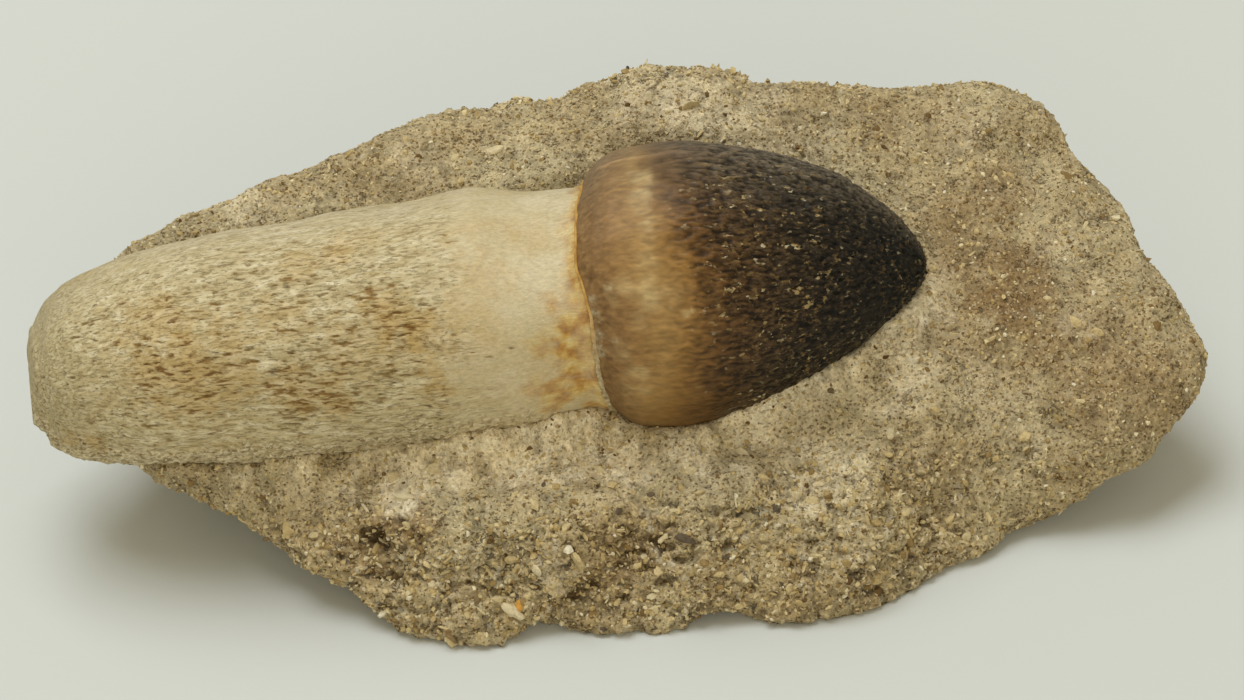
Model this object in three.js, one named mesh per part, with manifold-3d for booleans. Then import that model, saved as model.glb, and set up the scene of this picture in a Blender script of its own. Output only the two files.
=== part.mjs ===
// Fossil mosasaur tooth lying in a loose block of sandy phosphate rock.
// Millimetres, +Z up. The tooth lies along X with its tip toward +X, and the block rests on z = 0.
// The broken front of the block faces -Y.
import * as THREE from "three";
import { mergeVertices } from "three/addons/utils/BufferGeometryUtils.js";
import { ImprovedNoise } from "three/addons/math/ImprovedNoise.js";
import Module from "manifold-3d";

const wasm = await Module();
wasm.setup();

// Driving dimensions of the tooth
const GAP = 0.3; // clearance between neighbouring pieces
const ROOT_END = -58.1; // blunt broken end of the root
const CROWN_TIP = 31;
const BASE_MIDDLE = -1.8; // where the crown's base crosses the axis
const BASE_SLANT = 2.9; // how far the base leans along the tooth, at the joint's rim
const BASE_SLANT_TURN = 2.27; // radians from +Y: the side where the base reaches back along the root
const BASE_WAVE = 0.35; // the base's edge weaves by this much, three times around the tooth
const BASE_WAVE_TURN = 0.6;

const JOINT_RADIUS = 11; // the root's face against the crown
const LIP_RADIUS = 11.7; // the crown's edge, which stands just proud of the root
const LIP_LENGTH = 3.4; // the crown reaches its full width this far from its edge
const LIP_ROUNDNESS = 2.2;
const END_BULGE = 0.9; // how far the root's blunt end swells out in its middle

const RIDGE_TURN = 1.25; // radians from +Y: where the crown's low cutting ridge runs
const RIDGE_SPREAD = 0.16;
const RIDGE_HEIGHT = 0.55;

// Unevenness of each surface: how high its swellings stand, how broad they are, and a shift in the noise
const CROWN_UNEVENNESS = [{ height: 0.22, size: 6, shift: 3 }];
const CROWN_UNEVEN_FROM = 0; // the crown's base edge and its tip stay true
const CROWN_UNEVEN_TO = 29;
const ROOT_UNEVENNESS = [{ height: 0.5, size: 8, shift: 11 }];
const ROOT_UNEVEN_TO = -7;
const ROCK_UNEVENNESS = [
  { height: 1.5, size: 11, shift: 5 },
  { height: 1.1, size: 4.6, shift: 21 },
];

// Driving dimensions of the block
const BLOCK_LEFT = -51.4;
const BLOCK_RIGHT = 59.6;
const END_ROUNDING = 2.8; // length over which each end of the block closes
const REST_DEPTH = -0.9; // the raw underside dips this far below the plane that it is ground by
const GROUND_WIDTH = 200; // the box that the underside is ground by
const GROUND_DEPTH = 20;

// Fineness of the facets
const ROCK_AROUND = 45;
const ROCK_ALONG = 50;
const TOOTH_AROUND = 36;
const ROOT_ALONG = 18;
const CROWN_ALONG = 18;
const DISC_ROWS = 3; // rings of facets on each face of the joint between root and crown
const END_ROWS = 3; // rings of facets on the root's broken end
const CROWN_ROW_EASE = 1.6; // above 1, rings of facets crowd toward the crown's edge
const ROOT_ROW_EASE = 1.3;
const BLOCK_ROW_EASE = 0.35; // above 0, sections of the block crowd toward its ends

// The tooth's axis lies in the plane y = 0, as [x, z]: the root climbs a little toward the crown, and the
// tip nods down.
const AXIS = through([
  [-58.1, 18.7], [-48, 19.5], [-38, 20.6], [-27, 21.1], [-12, 21.9], [0, 22.7], [6, 22.7], [14, 23.1],
  [22, 23.7], [28, 23.4], [31.2, 22.6],
]);

// Half-widths as [x, radius]: the crown overhangs the root in a low lip, swells, and runs to a blunt point.
const ROOT_RADIUS = through([
  [-58.1, 5.0], [-57, 6.8], [-55.4, 8.2], [-52, 9.4], [-48, 10.5], [-38, 11.6], [-27, 12.0], [-18, 12.2],
  [-10, 11.8], [-4.5, 11.1], [0, JOINT_RADIUS],
]);
const CROWN_RADIUS = through([
  [-6, 13.2], [-2, 13.7], [1, 14.0], [5, 14.4], [9, 13.9], [14, 12.6], [18, 11.0], [22.4, 9.0], [26, 6.5],
  [28.5, 4.3], [30.2, 2.4], [31, 1.2],
]);

// The block's long edges, each as [x, y, z], in order around a section from its underside.
const UNDERSIDE = through([
  [-51.4, 2, 7.6], [-40, 0, 5.2], [-30, -2, 2.2], [-22, -2, REST_DEPTH], [30, -2, REST_DEPTH], [38, -2, 0.6],
  [47, -3, 3.4], [55, -5, 7.6], [59.6, -6.5, 10.8],
]);
const BACK_FOOT = through([
  [-51.4, 8.5, 9.5], [-38, 14, 5.4], [-26, 17.5, 1.2], [-15, 20, REST_DEPTH], [22, 21, REST_DEPTH],
  [34, 18.5, 0.8], [45, 12.5, 3.5], [53, 3, 7], [59.6, -5.2, 11.5],
]);
const BACK_FACE = through([
  [-51.4, 13.5, 15], [-38, 19.5, 15.5], [-24, 23, 17], [-8, 25, 17.5], [10, 25.5, 18], [28, 24.3, 16.5],
  [41, 22, 15.5], [49, 14, 13.5], [54.5, 4.5, 12.5], [59.6, -3.4, 13],
]);
const BACK_RIM = through([
  [-51.4, 10.6, 19.6], [-48.4, 12, 22.2], [-44.2, 14.2, 24.1], [-36.6, 16.2, 26.4], [-27.8, 18.2, 28.2],
  [-21.5, 20, 29.4], [-13.5, 22.2, 30.5], [1.6, 23.1, 31], [6, 23.5, 32.2], [12.3, 23, 32.8],
  [15.2, 22.8, 31.8], [19.5, 21.6, 29.6], [26.8, 21.5, 29.2], [35.4, 20.7, 29], [42.2, 20.9, 28.2],
  [47, 18.2, 25.6], [50.3, 13.5, 22.5], [53.6, 8, 20], [55.4, 2.4, 18], [58, -0.2, 16.4], [59.6, -3, 14.6],
]);
const BACK_LEDGE = through([
  [-51.4, 8, 19.6], [-38, 10.2, 25.5], [-27, 11.4, 27.2], [-12, 12, 28.2], [0, 12.3, 28.8], [9, 13.2, 29],
  [18, 11.6, 27.6], [27, 10, 26.4], [36, 9.5, 25.6], [45, 8, 23.4], [51, 3.8, 20.8], [56, -2.8, 18],
  [59.6, -5, 14.6],
]);
const FRONT_LEDGE = through([
  [-51.4, -1, 12.5], [-38, -6.5, 11.6], [-27, -8.6, 12.4], [-12, -9.6, 13.2], [0, -10.4, 13.6],
  [7, -10.6, 13.2], [14, -9.6, 14], [22, -7.4, 16.2], [28, -5.2, 18.2], [34, -4.6, 18.6], [42, -5.6, 17.8],
  [51, -7, 16.4], [59.6, -7.6, 14.4],
]);
const FRONT_SHOULDER = through([
  [-51.4, -3.4, 11.2], [-40, -8.8, 10.4], [-30, -13.6, 10.4], [-20, -17.6, 11], [-8, -18.8, 11.3],
  [8, -19.2, 11.2], [20, -18.2, 10.8], [30, -15.4, 10.8], [40, -13.6, 11.2], [51, -12, 12.2],
  [59.6, -9.2, 13.2],
]);
const FRONT_FACE = through([
  [-51.4, -3.8, 10.3], [-40, -9.8, 9], [-30, -16.8, 8], [-20, -22.4, 6], [-8, -23.4, 5.6], [8, -24.2, 5.6],
  [20, -23.6, 5.6], [30, -18.8, 6], [40, -15.8, 6.4], [51, -14, 9.4], [59.6, -9.8, 12.2],
]);
const FRONT_FOOT = through([
  [-51.4, -3, 9.6], [-47.8, -4.9, 9.1], [-41.3, -9.2, 7.5], [-35.5, -14.4, 5.9], [-30.2, -18.6, 4.6],
  [-26.7, -21.9, 1.6], [-18.1, -25.4, REST_DEPTH], [15.5, -27.1, REST_DEPTH], [20, -26.8, REST_DEPTH],
  [24.9, -25.2, REST_DEPTH], [30.7, -21.2, 0], [38.6, -17.9, 1.4], [45.6, -15.8, 4.2], [51, -14.8, 6.7],
  [56.4, -12.4, 10], [59.6, -9, 11],
]);
const EDGES = [
  UNDERSIDE, BACK_FOOT, BACK_FACE, BACK_RIM, BACK_LEDGE, FRONT_LEDGE, FRONT_SHOULDER, FRONT_FACE, FRONT_FOOT,
];

// Single lumps and hollows of the block: middle [x, y, z], reach, and how far the surface moves there.
const LUMPS = [
  { at: [-10.8, -25, 0], reach: 5.4, push: [0, 2.2, 4.6] }, // notch between the left and middle feet
  { at: [5.8, -25, 0], reach: 5.8, push: [0, 2, 3.8] }, // notch between the middle and right feet
  { at: [-26, -19, 6], reach: 5, push: [0.4, 1.6, 0.8] }, // hollow above the left foot
  { at: [-1, -20, 7], reach: 6, push: [0, 1.5, -0.8] }, // crevice along the bedding
  { at: [38.5, -15.5, 2], reach: 3.2, push: [0, -1.1, -0.9] }, // nub low on the right
  { at: [54, 7.5, 19.7], reach: 3.2, push: [0.8, 0.7, 0.8] }, // bump on the right shoulder
  { at: [33, -4, 20], reach: 9, push: [0, -0.4, -1.2] }, // scraped hollow in front of the tip
  { at: [26, -13, 14], reach: 7, push: [0, 0.8, -0.9] }, // scraped ground below the crown
  { at: [-12, 25, 12], reach: 10, push: [0, -2.2, 0] }, // broken hollow in the back
  { at: [26, 25, 22], reach: 8, push: [0, 1.4, 0.4] }, // swelling high on the back
];

// Returns a smooth curve through hand-picked points: give it x, and it gives the point's other numbers.
function through(points) {
  const last = points.length - 1;
  const slope = (i, k) => {
    const before = points[Math.max(i - 1, 0)];
    const after = points[Math.min(i + 1, last)];
    return (after[k] - before[k]) / (after[0] - before[0]);
  };
  return (x) => {
    const next = points.findIndex((point) => point[0] > x);
    const j = next === -1 ? last : Math.max(next, 1);
    const i = j - 1;
    const step = points[j][0] - points[i][0];
    const t = THREE.MathUtils.clamp((x - points[i][0]) / step, 0, 1);
    return points[i].slice(1).map((from, k) => {
      const to = points[j][k + 1];
      const leave = slope(i, k + 1) * step;
      const arrive = slope(j, k + 1) * step;
      const bend = (2 * t - 3) * t * t;
      return from + (from - to) * bend + leave * t * (1 - t) ** 2 - arrive * t * t * (1 - t);
    });
  };
}

// A closed skin: a sphere whose every vertex is put where place(turn, along) says.
// turn goes 0..1 around +X from the underside by way of the back, along goes 0..1 from -X to +X.
function skin(around, along, place) {
  const geometry = new THREE.SphereGeometry(1, around, along);
  const { position, uv } = geometry.attributes;
  for (let i = 0; i < position.count; i += 1) {
    const row = uv.getY(i);
    const atPole = row === 0 || row === 1;
    const turn = atPole ? 0 : uv.getX(i) % 1;
    const point = place(turn, row);
    position.setXYZ(i, point.x, point.y, point.z);
  }
  geometry.deleteAttribute("normal");
  geometry.deleteAttribute("uv");
  return mergeVertices(geometry);
}

function toSolid(geometry) {
  const vertProperties = new Float32Array(geometry.attributes.position.array);
  const triVerts = new Uint32Array(geometry.index.array);
  return new wasm.Manifold(new wasm.Mesh({ numProp: 3, vertProperties, triVerts }));
}

function toGeometry(solid) {
  const { vertProperties, triVerts } = solid.getMesh();
  const geometry = new THREE.BufferGeometry();
  geometry.setAttribute("position", new THREE.BufferAttribute(new Float32Array(vertProperties), 3));
  geometry.setIndex(new THREE.BufferAttribute(new Uint32Array(triVerts), 1));
  return geometry;
}

// Moves each vertex along its normal by amount(point).
function swell(geometry, amount) {
  geometry.computeVertexNormals();
  const { position, normal } = geometry.attributes;
  const point = new THREE.Vector3();
  const out = new THREE.Vector3();
  for (let i = 0; i < position.count; i += 1) {
    point.fromBufferAttribute(position, i);
    out.fromBufferAttribute(normal, i);
    point.addScaledVector(out, amount(point));
    position.setXYZ(i, point.x, point.y, point.z);
  }
  geometry.deleteAttribute("normal");
  return geometry;
}

const noise = new ImprovedNoise();

function unevenness(point, layers) {
  return layers.reduce((sum, { height, size, shift }) => {
    const at = point.clone().divideScalar(size).addScalar(shift);
    return sum + height * noise.noise(at.x, at.y, at.z);
  }, 0);
}

// The angle around the tooth from +Y, for a turn that starts at the underside.
const angleOf = (turn) => (turn - 0.25) * Math.PI * 2;

// The crown's wavy, leaning base: x on the base surface at a distance out from the axis.
function baseAt(turn, radius) {
  const angle = angleOf(turn);
  const share = radius / JOINT_RADIUS;
  const wave = BASE_WAVE * share * share * Math.sin(3 * angle + BASE_WAVE_TURN);
  return BASE_MIDDLE - share * BASE_SLANT * Math.cos(angle - BASE_SLANT_TURN) + wave;
}

function toothPoint(x, turn, radius) {
  const angle = angleOf(turn);
  return new THREE.Vector3(x, radius * Math.cos(angle), AXIS(x)[0] + radius * Math.sin(angle));
}

// A low ridge that runs down the crown high on its far side.
function ridgeHeight(turn, t) {
  const off = (angleOf(turn) - RIDGE_TURN) / RIDGE_SPREAD;
  return RIDGE_HEIGHT * Math.exp(-off * off) * Math.sin(Math.PI * t);
}

// The crown from its base disc (the first rows) to its tip. grow makes the same form bigger all round.
function crownGeometry(grow) {
  const rows = DISC_ROWS + CROWN_ALONG;
  return skin(TOOTH_AROUND, rows, (turn, along) => {
    const row = Math.round(along * rows);
    const edgeRadius = LIP_RADIUS + grow;
    if (row <= DISC_ROWS) {
      const radius = (edgeRadius * row) / DISC_ROWS;
      return toothPoint(baseAt(turn, radius) + GAP / 2 - grow, turn, radius);
    }
    const edge = baseAt(turn, LIP_RADIUS) + GAP / 2 - grow;
    const t = (row - DISC_ROWS) / CROWN_ALONG;
    const eased = THREE.MathUtils.lerp(t ** CROWN_ROW_EASE, Math.sin((t * Math.PI) / 2), t);
    const x = THREE.MathUtils.lerp(edge, CROWN_TIP + grow, eased);
    if (row === rows) {
      return toothPoint(x, turn, 0);
    }
    const opened = 1 - (1 - Math.min((x - edge) / LIP_LENGTH, 1)) ** LIP_ROUNDNESS;
    const radius = THREE.MathUtils.lerp(LIP_RADIUS, CROWN_RADIUS(x)[0], opened) + grow;
    return toothPoint(x, turn, radius + ridgeHeight(turn, t));
  });
}

// The root from its blunt broken end to its joint face with the crown (the last rows).
function rootGeometry(grow) {
  const rows = END_ROWS + ROOT_ALONG + DISC_ROWS;
  return skin(TOOTH_AROUND, rows, (turn, along) => {
    const row = Math.round(along * rows);
    if (row <= END_ROWS) {
      const share = Math.sin(((row / END_ROWS) * Math.PI) / 2);
      const bulge = END_BULGE * (1 - (row / END_ROWS) ** 2);
      return toothPoint(ROOT_END - grow - bulge, turn, share * (ROOT_RADIUS(ROOT_END)[0] + grow));
    }
    if (row >= rows - DISC_ROWS) {
      const radius = ((JOINT_RADIUS + grow) * (rows - row)) / DISC_ROWS;
      return toothPoint(baseAt(turn, radius) - GAP / 2 + grow, turn, radius);
    }
    const joint = baseAt(turn, JOINT_RADIUS) - GAP / 2 + grow;
    const t = (row - END_ROWS) / ROOT_ALONG;
    const x = THREE.MathUtils.lerp(ROOT_END - grow, joint, t ** ROOT_ROW_EASE);
    return toothPoint(x, turn, ROOT_RADIUS(x)[0] + grow);
  });
}

function crownForm(grow) {
  return swell(crownGeometry(grow), (point) => {
    const uneven = point.x > CROWN_UNEVEN_FROM && point.x < CROWN_UNEVEN_TO;
    return uneven ? unevenness(point, CROWN_UNEVENNESS) : 0;
  });
}

function rootForm(grow) {
  return swell(rootGeometry(grow), (point) => {
    const uneven = point.x < ROOT_UNEVEN_TO;
    return uneven ? unevenness(point, ROOT_UNEVENNESS) : 0;
  });
}

// A section of the block at x: the closed curve through its edges, drawn in to a point at both ends.
function blockPoint(turn, along) {
  const spread = THREE.MathUtils.lerp(along, 0.5 - 0.5 * Math.cos(Math.PI * along), BLOCK_ROW_EASE);
  const x = THREE.MathUtils.lerp(BLOCK_LEFT, BLOCK_RIGHT, spread);
  const corners = EDGES.map((edge) => new THREE.Vector3(x, ...edge(x)));
  const total = corners.reduce((sum, corner) => sum.add(corner), new THREE.Vector3());
  const middle = total.divideScalar(EDGES.length);
  const inFromEnd = Math.min(x - BLOCK_LEFT, BLOCK_RIGHT - x, END_ROUNDING) / END_ROUNDING;
  const open = Math.sqrt(1 - (1 - inFromEnd) ** 2);
  const curve = new THREE.CatmullRomCurve3(corners, true, "centripetal");
  return middle.lerp(curve.getPoint(turn), open);
}

function pressLumps(geometry) {
  const { position } = geometry.attributes;
  const point = new THREE.Vector3();
  for (let i = 0; i < position.count; i += 1) {
    point.fromBufferAttribute(position, i);
    for (const lump of LUMPS) {
      const near = 1 - point.distanceTo(new THREE.Vector3(...lump.at)) / lump.reach;
      if (near > 0) {
        point.addScaledVector(new THREE.Vector3(...lump.push), THREE.MathUtils.smoothstep(near, 0, 1));
      }
    }
    position.setXYZ(i, point.x, point.y, point.z);
  }
  return geometry;
}

// The block: its raw skin, made uneven, less the tooth with its clearance, ground flat where it rests.
function blockSolid() {
  const smooth = pressLumps(skin(ROCK_AROUND, ROCK_ALONG, blockPoint));
  const raw = swell(smooth, (point) => unevenness(point, ROCK_UNEVENNESS));
  const ground = new THREE.BoxGeometry(GROUND_WIDTH, GROUND_WIDTH, GROUND_DEPTH);
  ground.translate(0, 0, -GROUND_DEPTH / 2);
  ground.deleteAttribute("normal");
  ground.deleteAttribute("uv");
  return toSolid(raw)
    .subtract(toSolid(rootForm(GAP)))
    .subtract(toSolid(crownForm(GAP)))
    .subtract(toSolid(mergeVertices(ground)));
}

const rockMaterial = new THREE.MeshStandardMaterial({ color: 0x9c8760, roughness: 0.95, metalness: 0 });
const rootMaterial = new THREE.MeshStandardMaterial({ color: 0xc4b690, roughness: 0.75, metalness: 0 });
const crownMaterial = new THREE.MeshStandardMaterial({ color: 0x56402a, roughness: 0.4, metalness: 0 });

function named(name, geometry, material) {
  const mesh = new THREE.Mesh(geometry, material);
  mesh.name = name;
  return mesh;
}

const specimen = new THREE.Group();
specimen.add(named("rock_matrix", toGeometry(blockSolid()), rockMaterial));
specimen.add(named("tooth_root", toGeometry(toSolid(rootForm(0))), rootMaterial));
specimen.add(named("tooth_crown", toGeometry(toSolid(crownForm(0))), crownMaterial));

// The origin is under the middle of the whole specimen's box.
const middle = new THREE.Box3().setFromObject(specimen).getCenter(new THREE.Vector3());
specimen.position.set(-middle.x, -middle.y, 0);

export default specimen;
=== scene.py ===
"""Looks of the fossil tooth: fine surfaces for its rock, root and crown, loose sand, light and camera."""

import math

import bpy
import numpy as np
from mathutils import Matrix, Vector
from mathutils.bvhtree import BVHTree


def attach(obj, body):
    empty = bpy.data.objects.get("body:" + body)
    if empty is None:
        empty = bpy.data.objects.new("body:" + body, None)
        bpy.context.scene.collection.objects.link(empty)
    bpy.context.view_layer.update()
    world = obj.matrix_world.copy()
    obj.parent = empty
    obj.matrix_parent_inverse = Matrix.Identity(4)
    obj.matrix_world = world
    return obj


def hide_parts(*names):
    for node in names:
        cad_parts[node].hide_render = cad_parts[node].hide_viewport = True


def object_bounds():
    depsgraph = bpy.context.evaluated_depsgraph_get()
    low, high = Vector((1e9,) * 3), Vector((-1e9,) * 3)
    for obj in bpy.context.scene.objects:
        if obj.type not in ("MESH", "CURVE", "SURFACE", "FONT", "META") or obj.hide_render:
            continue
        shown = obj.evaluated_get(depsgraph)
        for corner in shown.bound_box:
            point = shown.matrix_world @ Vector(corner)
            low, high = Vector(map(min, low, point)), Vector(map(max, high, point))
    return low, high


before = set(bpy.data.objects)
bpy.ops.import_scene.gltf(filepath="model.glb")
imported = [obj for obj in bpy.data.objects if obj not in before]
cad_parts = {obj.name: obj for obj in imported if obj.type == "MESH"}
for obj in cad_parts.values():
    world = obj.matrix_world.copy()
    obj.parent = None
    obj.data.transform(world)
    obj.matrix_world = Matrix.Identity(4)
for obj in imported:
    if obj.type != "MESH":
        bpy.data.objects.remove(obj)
cad_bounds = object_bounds()

# Shapes are worked out in millimetres and written to the meshes in metres.
MM = 0.001

# The photograph's frame and the camera that took it
PHOTO_WIDTH = 1244
PHOTO_HEIGHT = 700
CAMERA_AZIMUTH = -8.0
CAMERA_ELEVATION = 40.0
CAMERA_DISTANCE = 520.0
CAMERA_LENS = 150.0
CAMERA_SENSOR = 36.0
CAMERA_TARGET = np.array([-0.15, -1.67, 16.6])

# The tooth's axis as (x, z), in the plane y = 0
AXIS_X = (-59.2, -48.1, -38.1, -27.1, -12.1, -0.1, 5.9, 13.9, 21.9, 27.9, 31.1)
AXIS_Z = (18.7, 19.5, 20.6, 21.1, 21.9, 22.7, 22.7, 23.1, 23.7, 23.4, 22.6)

# Angles around the tooth, from +Y up over the top: the arc that shows, and how finely both arcs are cut
SHOWN_ARC = (math.radians(12), math.radians(246))
SHOWN_STEPS = 430
HIDDEN_STEPS = 50
FACET_SMOOTHING = math.radians(6.5)

# The rock is remeshed twice: coarsely, to iron out the facets, and then as finely as the relief needs
ROCK_VOXEL_COARSE = 0.62
ROCK_VOXEL = 0.315
ROCK_TRIANGLES = 190000

# How readily the thinning of the rock touches what shows, against 1 for what is buried
SHOWN_WEIGHT = 0.1

# How far inside the CAD model's box everything stays
BOX_HAIR = 0.001

# The crown's edge stands this far from the axis, and its colours spread over this length
CROWN_EDGE_RADIUS = 11.55
CROWN_LENGTH = 36.0

# The root's broken end rounds off over this length, and the seam's bead has so many sides
ROOT_CAP = 0.9
FILLER_AROUND = 10

# The rock's noises from broad to fine: size in millimetres, and seed
ROCK_NOISES = ((5.5, 51), (2.5, 52), (1.25, 53), (0.62, 54))

# Where the photograph shows the crown's edge reach over the root or draw back: angle, half-width, millimetres
CROWN_EDGE_BUMPS = [(76, 16, 0.45), (124, 20, -0.75), (200, 22, 0.25)]

# Pale patches of the crown's base: a pixel of the photograph, reach in millimetres, and how strong
CROWN_PALE_SPOTS = [
    (645, 178, 1.8, 0.85), (642, 194, 1.7, 0.75), (643, 208, 1.3, 0.65), (654, 222, 1.5, 0.6),
    (648, 240, 1.5, 0.45), (648, 264, 1.5, 0.5), (646, 284, 1.8, 0.75), (650, 302, 1.6, 0.75),
    (624, 288, 1.7, 0.6), (612, 298, 1.2, 0.45), (668, 294, 1.8, 0.4), (640, 320, 1.3, 0.35),
    (620, 353, 1.6, 0.75), (636, 372, 1.5, 0.8), (626, 388, 1.5, 0.75), (644, 390, 1.2, 0.6),
    (686, 314, 0.6, 0.7), (692, 311, 0.4, 0.7), (655, 424, 1.6, 0.3), (632, 402, 1.2, 0.45),
]

# Greyish smear along the lower part of the crown's edge
CROWN_SMEAR_SPOTS = [
    (592, 300, 0.8, 0.5), (594, 318, 0.9, 0.8), (597, 334, 0.9, 0.9), (598, 350, 0.9, 0.9),
    (599, 366, 0.8, 0.8), (602, 382, 0.8, 0.9), (606, 398, 0.8, 0.9), (612, 412, 0.9, 0.8),
    (624, 424, 0.8, 0.8), (608, 288, 0.6, 0.6), (614, 340, 0.5, 0.5),
]

# The keel along the upper side of the crown: its angle by the base and how much it climbs per millimetre
KEEL_TURN = 73.0
KEEL_CLIMB = 0.3

# How far the root lies below the axis along X
ROOT_DROP_X = (-60.0, -44.0, -32.0, -20.0, -14.5, -9.0, -3.0, 0.0)
ROOT_DROP = (0.0, -0.25, -0.7, -0.5, -0.2, -0.75, -0.35, 0.0)

# Ochre patches of the root: a pixel of the photograph, reach in millimetres, and how strong
ROOT_OCHRE_SPOTS = [
    (183, 370, 4.5, 0.9), (190, 396, 4.0, 0.8), (149, 373, 3.0, 0.7), (230, 380, 4.0, 0.7),
    (294, 391, 3.5, 0.7), (330, 396, 3.0, 0.7), (388, 312, 3.5, 0.9), (420, 330, 3.0, 0.8),
    (436, 386, 2.6, 0.9), (230, 344, 3.5, 0.6), (478, 275, 4.0, 0.5), (467, 312, 3.5, 0.45),
    (294, 267, 2.5, 0.5), (336, 252, 2.0, 0.5), (90, 444, 2.5, 0.8), (150, 330, 4.0, 0.4),
    (350, 350, 4.0, 0.4), (540, 240, 3.0, 0.35), (280, 320, 3.5, 0.4),
]

# Deep ochre blotches beside the crown: a pixel of the photograph, reach in millimetres, and how strong
ROOT_STAIN_SPOTS = [
    (551, 307, 1.6, 0.7), (567, 349, 2.6, 1.0), (578, 365, 2.2, 1.0), (557, 396, 2.8, 0.75),
    (578, 386, 2.4, 0.9), (574, 300, 1.6, 0.7), (570, 325, 2.0, 0.8), (545, 345, 1.8, 0.45),
    (586, 233, 0.9, 0.7), (578, 275, 1.1, 0.8), (584, 205, 0.8, 0.7), (582, 192, 0.9, 0.7),
    (535, 390, 1.8, 0.4), (590, 405, 1.6, 0.8),
]

# Dark grey pits of the root: a pixel of the photograph, reach in millimetres, and how strong
ROOT_DARK_SPOTS = [
    (287, 288, 0.5, 0.9), (234, 327, 0.6, 0.8), (290, 349, 0.7, 0.7), (273, 372, 0.6, 0.8),
    (326, 363, 0.4, 1.0), (426, 344, 0.6, 0.8), (404, 343, 0.5, 0.7), (303, 367, 0.4, 0.8),
    (325, 410, 0.4, 0.7), (390, 408, 0.4, 0.8), (420, 416, 0.6, 0.8), (440, 413, 0.5, 0.7),
    (429, 391, 0.5, 0.6), (365, 307, 0.4, 0.7), (297, 265, 0.5, 0.6), (341, 256, 0.4, 0.9),
    (331, 251, 0.4, 0.7), (312, 352, 0.4, 0.6), (423, 327, 0.7, 0.5), (511, 348, 0.35, 1.0),
    (179, 364, 0.5, 0.6), (104, 350, 0.5, 0.6), (66, 372, 0.7, 0.5), (120, 430, 0.6, 0.5),
    (160, 424, 0.5, 0.6), (226, 410, 0.5, 0.5), (250, 300, 0.4, 0.5), (206, 285, 0.5, 0.5),
    (330, 268, 0.35, 0.7), (300, 292, 0.35, 0.6),
]

# Sandy residue on the root: a pixel of the photograph, reach in millimetres, and how thickly it lies
RESIDUE_SPOTS = [
    (436, 338, 1.5, 0.7), (417, 421, 1.6, 0.8), (268, 452, 2.6, 0.8), (230, 458, 2.6, 0.7),
    (310, 450, 2.0, 0.6), (352, 447, 1.8, 0.5), (62, 300, 2.0, 0.4), (48, 390, 2.2, 0.4),
    (90, 425, 2.4, 0.35), (180, 262, 1.6, 0.35),
]

# Hollows and crevices that show in the photograph: its pixel, then reach and depth in millimetres
HOLLOWS = [
    (366, 531, 1.0, 0.9), (374, 538, 1.1, 0.9), (386, 543, 1.1, 0.6), (398, 548, 0.9, 0.5),
    (630, 533, 0.9, 0.6), (650, 540, 1.0, 0.7), (640, 552, 0.9, 0.6), (664, 548, 0.9, 0.6),
    (606, 548, 0.9, 0.6), (680, 560, 1.0, 0.6), (646, 568, 0.9, 0.6), (694, 556, 1.0, 0.5),
    (664, 583, 0.9, 0.5), (575, 596, 1.2, 0.7), (593, 588, 1.0, 0.6), (505, 594, 0.8, 0.5),
    (722, 548, 1.0, 0.5), (430, 560, 0.9, 0.4), (345, 560, 0.9, 0.4), (618, 566, 0.8, 0.5),
]

# Whitish patches of the rock: a pixel of the photograph, reach in millimetres, and how strong
PALE_SPOTS = [
    (398, 482, 4.5, 1.0), (350, 488, 3.0, 0.6), (450, 470, 5.0, 0.9), (520, 455, 6.0, 0.9),
    (580, 450, 5.0, 0.8), (620, 460, 5.0, 0.7), (700, 455, 5.0, 0.7), (300, 480, 3.0, 0.6),
    (240, 485, 2.5, 0.5), (760, 430, 4.5, 0.7), (930, 300, 3.5, 0.6), (880, 350, 4.5, 0.75),
    (900, 380, 5.0, 0.55), (700, 105, 6.5, 0.45), (640, 100, 5.0, 0.35), (760, 112, 5.0, 0.4),
    (800, 140, 5.0, 0.3), (1075, 325, 2.6, 0.35), (1060, 250, 3.0, 0.25), (560, 575, 2.6, 0.5),
    (830, 470, 6.0, 0.5), (800, 445, 4.0, 0.5), (450, 600, 3.0, 0.25), (420, 620, 2.5, 0.2),
    (860, 545, 5.0, 0.3), (980, 395, 4.0, 0.35), (250, 205, 4.0, 0.4), (330, 500, 2.5, 0.5),
    (420, 160, 4.0, 0.3), (1010, 420, 5.0, 0.3), (960, 130, 4.0, 0.2),
]

# Brown patches of the rock, given in the same way
WARM_SPOTS = [
    (1010, 290, 8.0, 1.0), (960, 240, 5.0, 0.6), (1050, 340, 6.0, 0.7), (1150, 400, 7.0, 0.5),
    (1090, 400, 6.0, 0.5), (470, 590, 4.0, 0.3), (640, 560, 6.0, 0.6), (380, 540, 5.0, 0.6),
    (400, 520, 4.0, 1.0), (1000, 300, 5.0, 1.2), (800, 600, 5.0, 0.4), (1000, 190, 5.0, 0.6),
    (950, 500, 6.0, 0.35), (720, 590, 5.0, 0.5), (950, 130, 5.0, 0.4), (1060, 470, 5.0, 0.3),
    (880, 120, 4.0, 0.4),
]

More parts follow.
